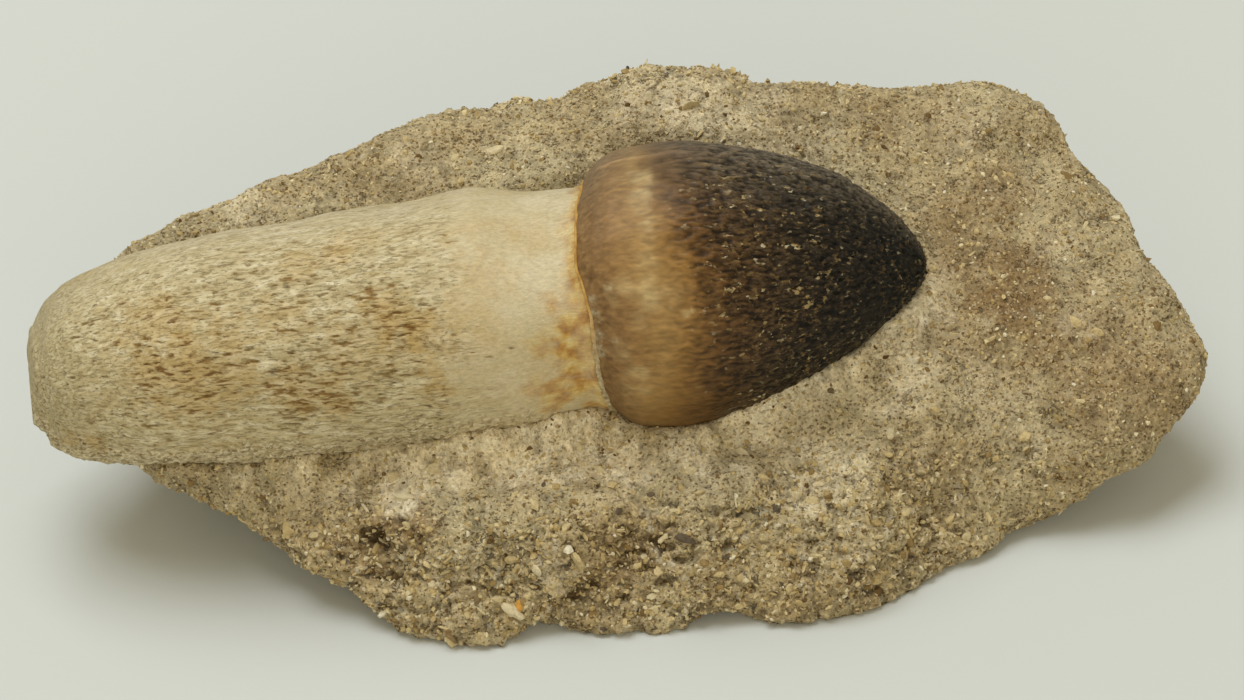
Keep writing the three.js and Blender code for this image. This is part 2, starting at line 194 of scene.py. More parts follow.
# Clasts that stand out in the photograph: its pixel, length in millimetres, and tint
CLASTS = [
    (477, 477, 1.3, 0.93), (543, 485, 0.8, 0.02), (619, 511, 1.1, 0.04), (651, 495, 1.0, 0.06),
    (534, 504, 1.7, 0.72), (578, 562, 3.2, 0.62), (511, 609, 3.0, 0.86), (519, 606, 1.2, 1.0),
    (450, 636, 1.8, 0.16), (536, 570, 1.5, 0.9), (431, 585, 1.1, 0.88), (394, 477, 1.6, 0.78),
    (404, 496, 2.0, 0.9), (432, 470, 2.2, 0.8), (462, 494, 1.3, 0.7), (349, 533, 1.3, 0.75),
    (643, 556, 1.4, 0.8), (690, 470, 1.6, 0.84), (742, 452, 1.3, 0.86), (700, 492, 1.2, 0.7),
    (512, 560, 1.9, 0.6), (565, 528, 1.3, 0.72), (478, 600, 1.4, 0.14), (600, 470, 1.2, 0.78),
    (655, 610, 1.2, 0.8), (830, 391, 0.9, 0.1), (1075, 322, 1.6, 0.55), (1098, 332, 1.5, 0.6),
    (495, 150, 1.7, 0.82), (455, 158, 1.3, 0.76), (690, 106, 2.2, 0.72), (760, 118, 1.3, 0.7),
    (812, 500, 1.5, 0.75), (868, 470, 1.2, 0.8), (905, 512, 1.3, 0.7), (940, 290, 1.0, 0.85),
    (905, 345, 1.0, 0.9), (872, 398, 1.1, 0.88), (790, 590, 1.7, 0.72), (745, 580, 1.3, 0.82),
]

# Colours that are laid on in one coat, 0 to 255 in sRGB
WARM_BROWN = (168, 138, 95)
PALE_CREAM = (247, 233, 199)
WHITE_CHIP = (232, 222, 194)
DARK_CHIP = (108, 98, 84)
CHALK = (252, 242, 212)
PIT_BROWN = (128, 96, 56)
DARK_DOT = (148, 116, 72)
LIGHT_DOT = (240, 226, 188)
CAVITY_SHADE_BROWN = (100, 76, 46)
ROOT_OLIVE = (184, 170, 128)
ROOT_OCHRE = (202, 168, 100)
ROOT_DARK_PIT = (112, 88, 56)
CROWN_SHEEN = (112, 101, 84)
CROWN_LOW_FLANK_SHADE = (112, 84, 50)
CROWN_GOLD = (122, 98, 60)
FLOOR_TONE = (200, 204, 201)

# How many loose things lie on the rock
SAND_COUNT = 8800
SLIVER_COUNT = 3000
CLAST_COUNT = 240

# The floor's half-width in metres, the sky, and the area lights: name, place and size in metres, watts, colour
FLOOR_HALF = 3.0
SKY_COLOUR = (1.0, 0.89, 0.66, 1)
SKY_STRENGTH = 0.5
PANELS = [
    ("ceiling_panel", (-0.25, 0.27, 1.05), (0.75, 0.65), 9.15, (0.905, 0.956, 1.0)),
    ("front_fill", (-0.1, -1.0, 0.45), (0.9, 0.5), 2.9, (1.0, 0.92, 0.75)),
]
PANELS_AIM = Vector((0, 0, 0.015))


def unit(vectors):
    return vectors / np.maximum(np.linalg.norm(vectors, axis=-1, keepdims=True), 1e-9)


def ease(low, high, value):
    t = np.clip((value - low) / (high - low), 0, 1)
    return t * t * (3 - 2 * t)


# Noise

def hashed(table, cell):
    a = table[cell[:, 0] & 255]
    b = table[(a + cell[:, 1]) & 255]
    return table[(b + cell[:, 2]) & 255]


def noise(points, size, seed):
    """Noise of about -1 to 1 with lumps as big as size, which may differ along x, y and z."""
    rng = np.random.default_rng(seed)
    table = rng.permutation(256)
    directions = unit(rng.normal(size=(256, 3)))
    place = points / np.asarray(size, float) + seed * 7.31
    cell = np.floor(place).astype(int)
    local = place - cell
    fade = local ** 3 * (local * (local * 6 - 15) + 10)
    total = np.zeros(len(points))
    for corner in np.ndindex(2, 2, 2):
        step = np.array(corner)
        weight = np.prod(np.where(step == 1, fade, 1 - fade), axis=1)
        slope = directions[hashed(table, cell + step)]
        total += weight * np.einsum("ij,ij->i", slope, local - step)
    return total * 1.7


def grain_cells(points, size, seed):
    """For packed grains as big as size: distance to a grain's middle, to its border, and a number per grain."""
    rng = np.random.default_rng(seed)
    table = rng.permutation(256)
    offsets = rng.random((256, 3))
    numbers = rng.random(256)
    place = points / size + seed * 3.17
    cell = np.floor(place).astype(int)
    nearest = np.full(len(points), 9.0)
    second = np.full(len(points), 9.0)
    number = np.zeros(len(points))
    for corner in np.ndindex(3, 3, 3):
        near = cell + np.array(corner) - 1
        code = hashed(table, near)
        away = np.linalg.norm(near + offsets[code] - place, axis=1)
        closer = away < nearest
        second = np.where(closer, nearest, np.minimum(second, away))
        number = np.where(closer, numbers[code], number)
        nearest = np.where(closer, away, nearest)
    return nearest, second - nearest, number


# Camera geometry, used to place things where the photograph shows them

def camera_axes():
    azimuth = math.radians(CAMERA_AZIMUTH)
    elevation = math.radians(CAMERA_ELEVATION)
    back = np.array([
        math.sin(azimuth) * math.cos(elevation), -math.cos(azimuth) * math.cos(elevation), math.sin(elevation),
    ])
    right = np.array([math.cos(azimuth), math.sin(azimuth), 0.0])
    return right, np.cross(back, right), back


def photo_ray(u, v):
    """Start and direction, in millimetres, of the line of sight through a pixel of the photograph."""
    right, up, back = camera_axes()
    pixels = CAMERA_LENS / CAMERA_SENSOR * PHOTO_WIDTH
    direction = right * (u - PHOTO_WIDTH / 2) / pixels + up * (PHOTO_HEIGHT / 2 - v) / pixels - back
    return CAMERA_TARGET + back * CAMERA_DISTANCE, unit(direction)


def seen_at(tree, u, v):
    """The point and normal of a surface that shows at a pixel of the photograph."""
    start, direction = photo_ray(u, v)
    point, normal, _, _ = tree.ray_cast(Vector(start), Vector(direction))
    if point is None:
        return None, None
    return np.array(point), np.array(normal)


# Meshes

def read(items, key, width, kind=np.float32):
    """One property of a mesh's items, as rows of width numbers."""
    found = np.zeros(len(items) * width, kind)
    items.foreach_get(key, found)
    return found.reshape(-1, width)


def mesh_arrays(mesh):
    """A mesh's points and its triangles, in millimetres."""
    mesh.calc_loop_triangles()
    points = read(mesh.vertices, "co", 3).astype(float) / MM
    return points, read(mesh.loop_triangles, "vertices", 3, np.int32)


def solid(node):
    """The points and triangles of one of the CAD model's solids."""
    return mesh_arrays(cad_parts[node].data)


def tree_of(points, faces):
    return BVHTree.FromPolygons([Vector(p) for p in points], faces.tolist())


def vertex_normals(points, faces):
    corners = points[faces]
    face_normals = np.cross(corners[:, 1] - corners[:, 0], corners[:, 2] - corners[:, 0])
    total = np.zeros_like(points)
    for k in range(3):
        for axis in range(3):
            total[:, axis] += np.bincount(faces[:, k], face_normals[:, axis], len(points))
    return unit(total)


def new_object(name, data):
    thing = bpy.data.objects.new(name, data)
    bpy.context.scene.collection.objects.link(thing)
    return thing


def new_mesh(name, points, faces, values):
    """A mesh from points in millimetres, with values kept on them."""
    mesh = bpy.data.meshes.new(name)
    mesh.from_pydata((points * MM).tolist(), [], [list(face) for face in faces])
    for key, numbers in values.items():
        attribute = mesh.attributes.new(key, "FLOAT", "POINT")
        attribute.data.foreach_set("value", np.asarray(numbers, np.float32))
    return mesh


def add_piece(name, points, faces, material, values, replaced=(), smooth=True):
    """Makes a shown piece of the object from points in millimetres, riding on the one body."""
    mesh = new_mesh(name, inside_box(points), faces, values)
    mesh.polygons.foreach_set("use_smooth", np.full(len(mesh.polygons), smooth))
    mesh.update()
    mesh.materials.append(material)
    piece = new_object(name, mesh)
    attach(piece, "root")
    for node in replaced:
        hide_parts(node)
    return piece


def neighbour_mean(points, edges):
    total = np.zeros_like(points)
    for axis in range(3):
        total[:, axis] = np.bincount(edges[:, 0], points[edges[:, 1], axis], len(points))
        total[:, axis] += np.bincount(edges[:, 1], points[edges[:, 0], axis], len(points))
    count = np.bincount(edges.ravel(), minlength=len(points))
    return total / count[:, None]


def relax(points, edges, rounds):
    """Irons out facets without shrinking: each round smooths, then swells back almost as much."""
    for _ in range(rounds):
        for pull in (0.55, -0.57):
            points = points + pull * (neighbour_mean(points, edges) - points)
    return points


# Materials

def srgb(red, green, blue):
    """A colour given as 0 to 255 in sRGB, as the linear numbers that shaders use."""
    channels = [c / 255 for c in (red, green, blue)]
    return tuple(c / 12.92 if c <= 0.04045 else ((c + 0.055) / 1.055) ** 2.4 for c in channels) + (1.0,)


class Value:
    """The output of a node. A grey one is added, subtracted and multiplied like a number."""

    def __init__(self, paint, socket):
        self.paint = paint
        self.socket = socket

    def __add__(self, other):
        return self.paint.math("ADD", self, other)

    def __sub__(self, other):
        return self.paint.math("SUBTRACT", self, other)

    def __mul__(self, other):
        return self.paint.math("MULTIPLY", self, other)

    def span(self, low, high, to_low=0.0, to_high=1.0, smooth=True):
        """Carries low to high onto to_low to to_high, and holds still outside them."""
        keys = ("Value", "From Min", "From Max", "To Min", "To Max")
        inputs = dict(zip(keys, (self, low, high, to_low, to_high)))
        way = "SMOOTHSTEP" if smooth else "LINEAR"
        return self.paint.node("MapRange", "Result", inputs, interpolation_type=way)


class Paint:
    """A material whose colour is laid on coat by coat."""

    def __init__(self, name):
        self.material = bpy.data.materials.new(name)
        self.material.use_nodes = True
        self.nodes = self.material.node_tree.nodes
        self.links = self.material.node_tree.links
        self.surface = self.nodes["Principled BSDF"]
        self.place = self.vector("MULTIPLY", self.node("TexCoord", "Object", {}), (1 / MM,) * 3)
        self.coat = None

    def feed(self, socket, value):
        """Links a value to a socket, or sets it. Three numbers on a colour's socket are 0 to 255."""
        if isinstance(value, Value):
            self.links.new(value.socket, socket)
        else:
            socket.default_value = srgb(*value) if socket.type == "RGBA" else value

    def node(self, kind, output, inputs, **settings):
        """Adds a node and returns one of its outputs."""
        node = self.nodes.new("ShaderNode" + kind)
        for key, setting in settings.items():
            setattr(node, key, setting)
        for key, value in inputs.items():
            self.feed(node.inputs[key], value)
        return Value(self, node.outputs[output])

    def vector(self, operation, first, second):
        return self.node("VectorMath", 0, {0: first, 1: second}, operation=operation)

    def math(self, operation, first, second=0.0):
        return self.node("Math", 0, {0: first, 1: second}, operation=operation)

    def attribute(self, name):
        return self.node("Attribute", "Fac", {}, attribute_name=name)

    def noise(self, size, detail=3.0, rough=0.55, stretch=(1, 1, 1), shift=0.0):
        """Noise with lumps of size millimetres, drawn out by stretch."""
        place = self.vector("MULTIPLY", self.place, tuple(1 / (size * s) for s in stretch))
        if shift:
            place = self.vector("ADD", place, (shift,) * 3)
        inputs = {"Vector": place, "Scale": 1.0, "Detail": detail, "Roughness": rough}
        return self.node("TexNoise", "Fac", inputs)

    def cells(self, size, warp, output):
        """Packed cells of size millimetres, with borders that are bent by warp."""
        place = self.vector("MULTIPLY", self.place, (1 / size,) * 3)
        bent = self.node("TexNoise", "Color", {"Vector": place, "Scale": 1.3})
        place = self.vector("ADD", place, self.vector("MULTIPLY", bent, (warp,) * 3))
        return self.node("TexVoronoi", output, {"Vector": place, "Scale": 1.0})

    def cell_number(self, size, warp, channel):
        """One random number per cell, of the three that each cell has."""
        return self.node("SeparateColor", channel, {0: self.cells(size, warp, "Color")})

    def ramp(self, value, *stops):
        """A colour that follows a value through stops of (position, colour)."""
        node = self.nodes.new("ShaderNodeValToRGB")
        elements = node.color_ramp.elements
        while len(elements) < len(stops):
            elements.new(0.5)
        for element, (position, colour) in zip(elements, stops):
            element.position = position
            element.color = srgb(*colour)
        self.feed(node.inputs[0], value)
        return Value(self, node.outputs["Color"])

    def cover(self, amount, colour):
        """Lays a colour over the coat, by an amount from 0 to 1."""
        self.coat = self.node("Mix", 2, {0: amount, 6: self.coat, 7: colour}, data_type="RGBA")

    def shade(self, factor):
        """Makes the coat lighter or darker by a factor."""
        grey = self.node("CombineXYZ", 0, {0: factor, 1: factor, 2: factor})
        self.coat = self.vector("MULTIPLY", self.coat, grey)

    def finish(self, roughness, relief, depth, specular, level, strength=1.0):
        """Ends the material: relief is raised by depth millimetres, and level darkens all of it."""
        self.shade(level)
        inputs = {"Distance": depth * MM, "Strength": strength, "Height": relief}
        self.feed(self.surface.inputs["Base Color"], self.coat)
        self.feed(self.surface.inputs["Roughness"], roughness)
        self.feed(self.surface.inputs["Normal"], self.node("Bump", "Normal", inputs))
        self.surface.inputs["Specular IOR Level"].default_value = specular
        return self.material


def rock_material():
    """Sandy tan rock: packed grains of many tints, brown pits, and paler scraped ground near the tooth."""
    p = Paint("rock")
    coarse = p.attribute("coarse")
    pale = p.attribute("pale")
    drift = p.noise(13, detail=5)
    p.coat = p.ramp(drift, (0.34, (206, 184, 140)), (0.5, (220, 201, 157)), (0.66, (232, 216, 173)))
    p.shade(p.noise(2.4, detail=5, rough=0.62, shift=2.0).span(0.3, 0.7, 0.84, 1.14))
    p.cover(p.attribute("warm") * 0.85, WARM_BROWN)
    p.cover(pale * 0.9, PALE_CREAM)

    # Shell bits and grains of other tints
    sand_tint = p.cell_number(0.24, 0.8, 0)
    chip_tint = p.cell_number(0.8, 1.1, 1)
    p.shade(sand_tint.span(0, 1, 0.86, 1.12, smooth=False))
    chip_light = chip_tint.span(0, 1, 0.78, 1.2, smooth=False)
    p.shade((chip_light - 1.0) * coarse.span(0, 1, 0.15, 0.7) + 1.0)
    p.cover(chip_tint.span(0.92, 0.94) * coarse.span(0, 1, 0.2, 0.7), WHITE_CHIP)
    p.cover(chip_tint.span(0.025, 0.02) * coarse.span(0, 1, 0.3, 0.8), DARK_CHIP)

    # Chalky crust in the pale ground
    chalk = p.noise(1.3, detail=6, rough=0.66, shift=9.0).span(0.5, 0.58) * pale.span(0.25, 0.8)
    p.cover(chalk * 0.85, CHALK)

    # Small brown pits and thin crevices
    fine = p.noise(0.34, detail=6, rough=0.72)
    pits = p.noise(0.42, detail=4, rough=0.66, stretch=(1.25, 1, 0.85), shift=6.0).span(0.41, 0.35)
    crack = p.math("ABSOLUTE", p.noise(1.2, detail=5, rough=0.6, shift=15.0) - 0.5)
    cracks = crack.span(0.022, 0.006) * p.noise(2.6, detail=3, shift=21.0).span(0.56, 0.66)
    pits = p.math("MAXIMUM", pits, cracks) * pale.span(0, 1, 1.0, 0.45)
    p.shade(fine.span(0.25, 0.75, 0.72, 1.22))
    p.cover(pits * 0.75, PIT_BROWN)

    # Dark and light dots, one to a small cell
    dot_number = p.cell_number(0.36, 0.6, 2)
    dot_middle = p.cells(0.36, 0.6, "Distance")
    dark_dots = dot_middle.span(0.46, 0.26) * dot_number.span(0.6, 0.66) * pale.span(0, 1, 0.8, 0.35)
    p.cover(dark_dots, DARK_DOT)
    p.cover(dot_middle.span(0.44, 0.3) * dot_number.span(0.2, 0.14, 0, 0.6), LIGHT_DOT)
    # Painted shade: the colour darkens, and browns at the deepest, where the relief lies low in hollows and
    # crevices, and lightens a little where it stands proud.
    cavity = p.attribute("cavity")
    p.shade(cavity.span(-0.5, 0.25, 0.55, 1.08))
    p.cover(cavity.span(-0.45, -0.8, 0, 0.6), CAVITY_SHADE_BROWN)

    relief = (fine - pits * 0.9 + sand_tint * 0.3 - dark_dots * 0.35) * pale.span(0, 1, 1.0, 0.65)
    return p.finish(0.95, relief, 0.24, specular=0.14, level=pale.span(0.1, 0.8, 0.78, 1.0))


def grain_material():
    """Half-bedded sand, each grain a little lighter or darker than the rock."""
    p = Paint("grains")
    p.coat = p.ramp(
        p.attribute("tint"), (0.0, (104, 80, 48)), (0.12, (150, 124, 80)), (0.3, (190, 166, 114)),
        (0.6, (214, 193, 142)), (0.85, (228, 210, 162)), (0.95, (236, 224, 188)), (1.0, (242, 234, 208)),
    )
    fine = p.noise(0.3, detail=5, rough=0.7)
    p.shade(fine.span(0.25, 0.75, 0.76, 1.18))
    return p.finish(0.92, fine, 0.1, specular=0.16, level=0.85)


def clast_material():
    """Shell chips and rounded pebbles: grey, tan, cream and one orange, with a faint grain."""
    p = Paint("clasts")
    p.coat = p.ramp(
        p.attribute("tint"), (0.0, (98, 88, 74)), (0.12, (128, 110, 82)), (0.2, (172, 146, 98)),
        (0.5, (204, 182, 130)), (0.75, (218, 200, 154)), (0.92, (230, 218, 184)), (0.97, (228, 196, 120)),
        (1.0, (214, 160, 76)),
    )
    fine = p.noise(0.4, detail=5, rough=0.65)
    p.shade(fine.span(0.28, 0.72, 0.76, 1.12))
    return p.finish(0.85, fine, 0.1, specular=0.22, level=0.85, strength=0.9)


def root_material():
    """Ivory bone: lengthwise streaks, brown pits, sandy residue, and an ochre stain along the crown."""
    p = Paint("root")
    worn = p.attribute("worn")
    streak = p.noise(0.9, detail=6, rough=0.68, stretch=(2.6, 0.75, 0.75))
    p.coat = p.ramp(streak, (0.32, (184, 165, 121)), (0.5, (213, 198, 156)), (0.66, (241, 230, 196)))
    cream = p.noise(4.5, detail=5, stretch=(1.3, 1, 1), shift=5.0)
    p.cover(worn.span(0, 1, 0.9, 0.0), p.ramp(cream, (0.35, (216, 200, 157)), (0.65, (232, 219, 185))))
    p.cover(p.attribute("along").span(44, 56) * 0.6, ROOT_OLIVE)

    ochre = p.noise(7, detail=5, stretch=(1.8, 1, 1), shift=3.0).span(0.5, 0.7, 0, 0.4)
    ochre = ochre + p.attribute("ochre")
    p.cover(ochre * 0.62, ROOT_OCHRE)

    dash = p.noise(0.5, detail=3, rough=0.6, stretch=(1.9, 0.42, 0.42), shift=8.0)
    dash_mark = dash.span(0.46, 0.37) * worn.span(0, 1, 0.03, 0.48)
    p.cover(dash_mark, p.ramp(ochre, (0.1, (172, 148, 98)), (0.8, (168, 130, 64))))
    pit_tone = p.ramp(ochre, (0.0, (146, 120, 72)), (0.4, (148, 112, 56)), (0.9, (134, 94, 40)))
    p.cover(p.attribute("pit") * 0.85, pit_tone)

    sand = p.cell_number(0.32, 0.6, 0)
    sand_tone = p.ramp(sand, (0.0, (140, 120, 84)), (0.35, (200, 182, 140)), (1.0, (240, 228, 192)))
    p.cover(p.attribute("residue") * 0.9, sand_tone)
    stain_tone = p.ramp(
        p.noise(1.6, detail=5), (0.32, (234, 212, 146)), (0.44, (220, 182, 100)), (0.54, (196, 144, 60)),
        (0.68, (160, 104, 38)),
    )
    p.cover(p.attribute("stain"), stain_tone)
    p.cover(p.attribute("dark") * 0.9, ROOT_DARK_PIT)
    fibre = p.noise(0.26, detail=5, rough=0.7, stretch=(2.2, 1, 1))
    p.shade(fibre.span(0.25, 0.75, 0.82, 1.17))
    # Painted shade: the root darkens toward its upper back, by angle alone.
    p.shade(p.attribute("turn").span(100, 45, 1.0, 0.9))
    relief = fibre * 0.6 - dash_mark * 1.2
    return p.finish(worn.span(0, 1, 0.6, 0.85), relief, 0.13, specular=0.25, level=0.775)


def crown_material():
    """Satin enamel: tan and translucent-looking by the base, then brown, then nearly black at the tip."""
    p = Paint("crown")
    along = p.attribute("along")
    turn = p.attribute("turn")
    drift = p.noise(4.5, detail=5, stretch=(1.5, 1, 1))
    streak = p.noise(0.7, detail=6, rough=0.65, stretch=(2.4, 0.8, 0.8), shift=4.0)
    # The dark reaches nearer to the base on the lower flank, as painted shade where that flank faces down, and a
    # little nearer high on the crown.
    toward_tip = along + (drift - 0.5) * 4.0 + (streak - 0.5) * 5.0 + turn.span(155, 215, 0, 4.0)
    toward_tip = toward_tip + along.span(9, 14, 0, 1.6) + turn.span(135, 60, 0, 5.5) * along.span(3, 8)
    p.coat = p.ramp(
        toward_tip * (1 / CROWN_LENGTH), (0.0, (124, 94, 56)), (0.08, (137, 105, 63)), (0.19, (155, 123, 73)),
        (0.26, (132, 99, 52)), (0.33, (96, 68, 34)), (0.43, (68, 48, 25)), (0.54, (53, 40, 24)),
        (0.68, (31, 25, 17)), (1.0, (14, 16, 15)),
    )
    band = p.noise(1.4, detail=5, stretch=(1.6, 1, 1), shift=7.0)
    p.cover(p.attribute("band"), p.ramp(band, (0.3, (162, 133, 85)), (0.7, (190, 168, 121))))
    rim = p.noise(0.6, detail=4, stretch=(1.5, 1, 1), shift=1.0)
    p.cover(along.span(3.6, 1.2, 0, 0.8), p.ramp(rim, (0.3, (104, 77, 47)), (0.7, (144, 114, 74))))
    # Painted sheen: a greyish tint over the upper side, in place of the reflection that lies there.
    p.cover(turn.span(120, 60, 0, 0.42), CROWN_SHEEN)
    p.shade(streak.span(0.25, 0.75, 0.86, 1.16))
    # Painted shade in the wrinkles' grooves, partly dirt, and painted highlight on their crests and along the keel.
    p.shade(p.attribute("fold_shade_highlight").span(0.15, 0.85, 0.35, 1.95))
    smear = p.noise(0.5, detail=5, rough=0.7, shift=23.0)
    smear_tone = p.ramp(smear, (0.35, (124, 101, 67)), (0.5, (170, 153, 118)), (0.66, (212, 201, 168)))
    p.cover(p.attribute("smear"), smear_tone)
    # Painted shade: a dark brown over the down-facing lower flank near the base.
    p.cover(turn.span(180, 225) * along.span(9, 3) * 0.5, CROWN_LOW_FLANK_SHADE)

    # Knots, lightened on their tops as painted highlight and darkened between as painted shade, with golden and
    # pale specks between them, where the enamel is rough
    rough_skin = along.span(9, 19)
    knots = p.noise(0.34, detail=4, rough=0.62, stretch=(1.9, 0.85, 0.85), shift=11.0)
    p.shade(rough_skin * knots.span(0.35, 0.65, -0.45, 0.75) + 1.0)
    where = p.attribute("speck") * p.noise(3.0, detail=3, shift=13.0).span(0.35, 0.6, 0.25, 1.0)
    gold = p.noise(0.62, detail=3, rough=0.6, stretch=(1.3, 0.75, 0.75), shift=27.0)
    p.cover(gold.span(0.55, 0.64, 0, 0.85) * where, CROWN_GOLD)
    spark = p.noise(0.75, detail=3, stretch=(1.3, 0.8, 0.8), shift=17.0)
    spark_tone = p.ramp(
        p.noise(0.9, shift=19.0), (0.35, (146, 120, 74)), (0.55, (186, 166, 118)), (0.7, (236, 230, 206)),
    )
    p.cover(spark.span(0.61, 0.66) * where, spark_tone)
    relief = p.noise(0.2, detail=5, rough=0.7, stretch=(1.8, 1, 1)) * 0.35 + rough_skin * knots * 1.2
    return p.finish(along.span(3, 18, 0.42, 0.3), relief, 0.13, specular=0.17, level=0.84)


def filler_material():
    """The seam's fill: an ochre line over the top, and pale sandy paste on the lower flank."""
    p = Paint("filler")
    p.coat = p.ramp(p.noise(0.9, detail=4), (0.35, (184, 134, 66)), (0.65, (216, 176, 104)))
    paste = p.noise(0.8, detail=5, rough=0.65)
    paste_tone = p.ramp(paste, (0.35, (150, 130, 96)), (0.5, (186, 170, 132)), (0.65, (222, 212, 182)))
    p.cover(p.attribute("fat"), paste_tone)
    return p.finish(0.85, p.noise(0.3, detail=4), 0.12, specular=0.2, level=0.82, strength=0.8)


# The tooth

def axis_z(x):
    return np.interp(x, AXIS_X, AXIS_Z)


def ring_angles():
    shown = np.linspace(*SHOWN_ARC, SHOWN_STEPS, endpoint=False)
    hidden = np.linspace(SHOWN_ARC[1], SHOWN_ARC[0] + 2 * math.pi, HIDDEN_STEPS, endpoint=False)
    return np.concatenate([shown, hidden])


def angle_smoother(angles):
    """A matrix that averages values around the ring, to take the flats off a faceted solid."""
    apart = np.abs(angles[:, None] - angles[None, :])
    apart = np.minimum(apart, 2 * math.pi - apart)
    step = np.gradient(np.append(angles, angles[0] + 2 * math.pi))[:-1]
    weight = np.exp(-0.5 * (apart / FACET_SMOOTHING) ** 2) * step
    return weight / weight.sum(1, keepdims=True)


ANGLES = ring_angles()
DEGREES = np.degrees(ANGLES) % 360
SMOOTHER = angle_smoother(ANGLES)


def base_plane(tree, radius, near_x):
    """x of the crown's base at each angle, found by lines that run along +X from in front of it."""
    found = []
    for angle in ANGLES:
        z = float(axis_z(near_x)) + radius * math.sin(angle)
        hit = tree.ray_cast(Vector((near_x - 12, radius * math.cos(angle), z)), Vector((1, 0, 0)))[0]
        found.append(hit.x)
    return np.array(found)


def radii(tree, x):
    """Distance from the axis to the outside at each x and angle."""
    found = np.zeros(x.shape)
    reach = 40.0
    for (row, column), place in np.ndenumerate(x):
        out = Vector((0, math.cos(ANGLES[column]), math.sin(ANGLES[column])))
        middle = Vector((place, 0, float(axis_z(place))))
        hit = tree.ray_cast(middle + out * reach, -out)
        found[row, column] = reach - hit[3] if hit[0] is not None else np.nan
    return found


def fine_rows(coarse, coarse_at, fine_at):
    """Rows between the coarse rows, on a curve that passes through them."""
    rows = np.zeros((len(fine_at), coarse.shape[1]))
    slopes = np.gradient(coarse, coarse_at, axis=0)
    index = np.clip(np.searchsorted(coarse_at, fine_at) - 1, 0, len(coarse_at) - 2)
    width = (coarse_at[index + 1] - coarse_at[index])[:, None]
    t = ((fine_at - coarse_at[index])[:, None]) / width
    start, end = coarse[index], coarse[index + 1]
    leave, arrive = slopes[index] * width, slopes[index + 1] * width
    rows[:] = (start * (2 * t ** 3 - 3 * t ** 2 + 1) + end * (3 * t ** 2 - 2 * t ** 3)
               + leave * (t ** 3 - 2 * t ** 2 + t) + arrive * (t ** 3 - t ** 2))
    return rows


def ring_grid(rows, columns):
    """Quads of a tube of rings, with a point at each end: the first and the last vertex."""
    column = np.arange(columns)
    after = (column + 1) % columns
    faces = []
    for row in range(rows - 1):
        base = 1 + row * columns
        quads = np.stack([base + column, base + after, base + columns + after, base + columns + column], axis=1)
        faces.extend(quads.tolist())
    last = 1 + (rows - 1) * columns
    faces.extend(np.stack([np.zeros(columns, int), 1 + after, 1 + column], axis=1).tolist())
    faces.extend(np.stack([last + column, last + after, np.full(columns, last + columns)], axis=1).tolist())
    return faces


def triangles_of(faces):
    found = []
    for face in faces:
        found.append(face[:3])
        if len(face) == 4:
            found.append([face[0], face[2], face[3]])
    return np.array(found)


def tooth_points(x, radius):
    """Points around the tooth's axis, at each x and radius of a grid."""
    return np.stack([x, radius * np.cos(ANGLES), axis_z(x) + radius * np.sin(ANGLES)], axis=-1)


def waves(bumps):
    """A sum of smooth bumps around the tooth, each given as (angle, half-width, height)."""
    return sum(height * np.exp(-((DEGREES - angle) / spread) ** 2) for angle, spread, height in bumps)


def rim_ring(x, radius):
    """A ring of points at which noise along the joint's rim is read."""
    return np.stack([x, radius * np.cos(ANGLES), radius * np.sin(ANGLES)], axis=1)


def ring_skin(grid, first_x, last_x):
    """A closed skin over rings of points, with a point on the axis at each end."""
    first, last = (np.array([[x, 0, axis_z(x)]]) for x in (first_x, last_x))
    points = np.vstack([first, grid.reshape(-1, 3), last])
    quads = ring_grid(len(grid), len(ANGLES))
    turn = np.concatenate([[90], np.tile(DEGREES, len(grid)), [90]])
    return points, quads, vertex_normals(points, triangles_of(quads)), turn


def wavered(points, size, seeds, amount):
    """Points pushed to and fro across the tooth, so that what is drawn along it wavers."""
    across = [np.zeros(len(points))] + [noise(points, size, seed) for seed in seeds]
    return points + amount * np.stack(across, axis=1)


def crown_skin():
    """The crown's smooth form, cut fine: points, quads, normals, angle, distance from its edge, the edge."""
    points, faces = solid("tooth_crown")
    tree = tree_of(points, faces)
    edge = SMOOTHER @ base_plane(tree, CROWN_EDGE_RADIUS, -2.0)
    tip = points[:, 0].max()
    eased = lambda t: t ** 1.35 * (1 - t) + np.sin(t * math.pi / 2) * t
    coarse_at = np.linspace(0, 1, 46)
    coarse_x = edge + (tip - edge) * eased(coarse_at)[:, None]
    coarse_x[0] += 0.04
    coarse_x[-1] = tip - 0.03
    coarse = radii(tree, coarse_x)
    coarse[0] = CROWN_EDGE_RADIUS + 0.1
    coarse = np.nan_to_num(coarse, nan=0.6) @ SMOOTHER.T
    fine_at = np.linspace(0, 1, 176)
    radius = fine_rows(coarse, coarse_at, fine_at)
    edge = edge + waves(CROWN_EDGE_BUMPS)
    edge = edge + 0.14 * noise(rim_ring(edge, CROWN_EDGE_RADIUS), 1.7, 45)
    x = edge + (tip - edge) * eased(fine_at)[:, None]
    # The face toward the root is out of sight, but for its outermost part, where it rounds into the flank.
    shares = np.array([0.35, 0.7, 0.9, 0.96])
    disc_x = [edge.mean() + (edge - edge.mean()) * share + 0.12 * (share > 0.8) for share in shares]
    x = np.vstack([disc_x, x])
    radius = np.vstack([radius[0] * shares[:, None], radius])
    along = np.maximum(x - edge, 0)[:-1].ravel()
    along = np.concatenate([[0], along, [tip - edge.mean()]])
    return *ring_skin(tooth_points(x[:-1], radius[:-1]), edge.mean(), tip), along, edge


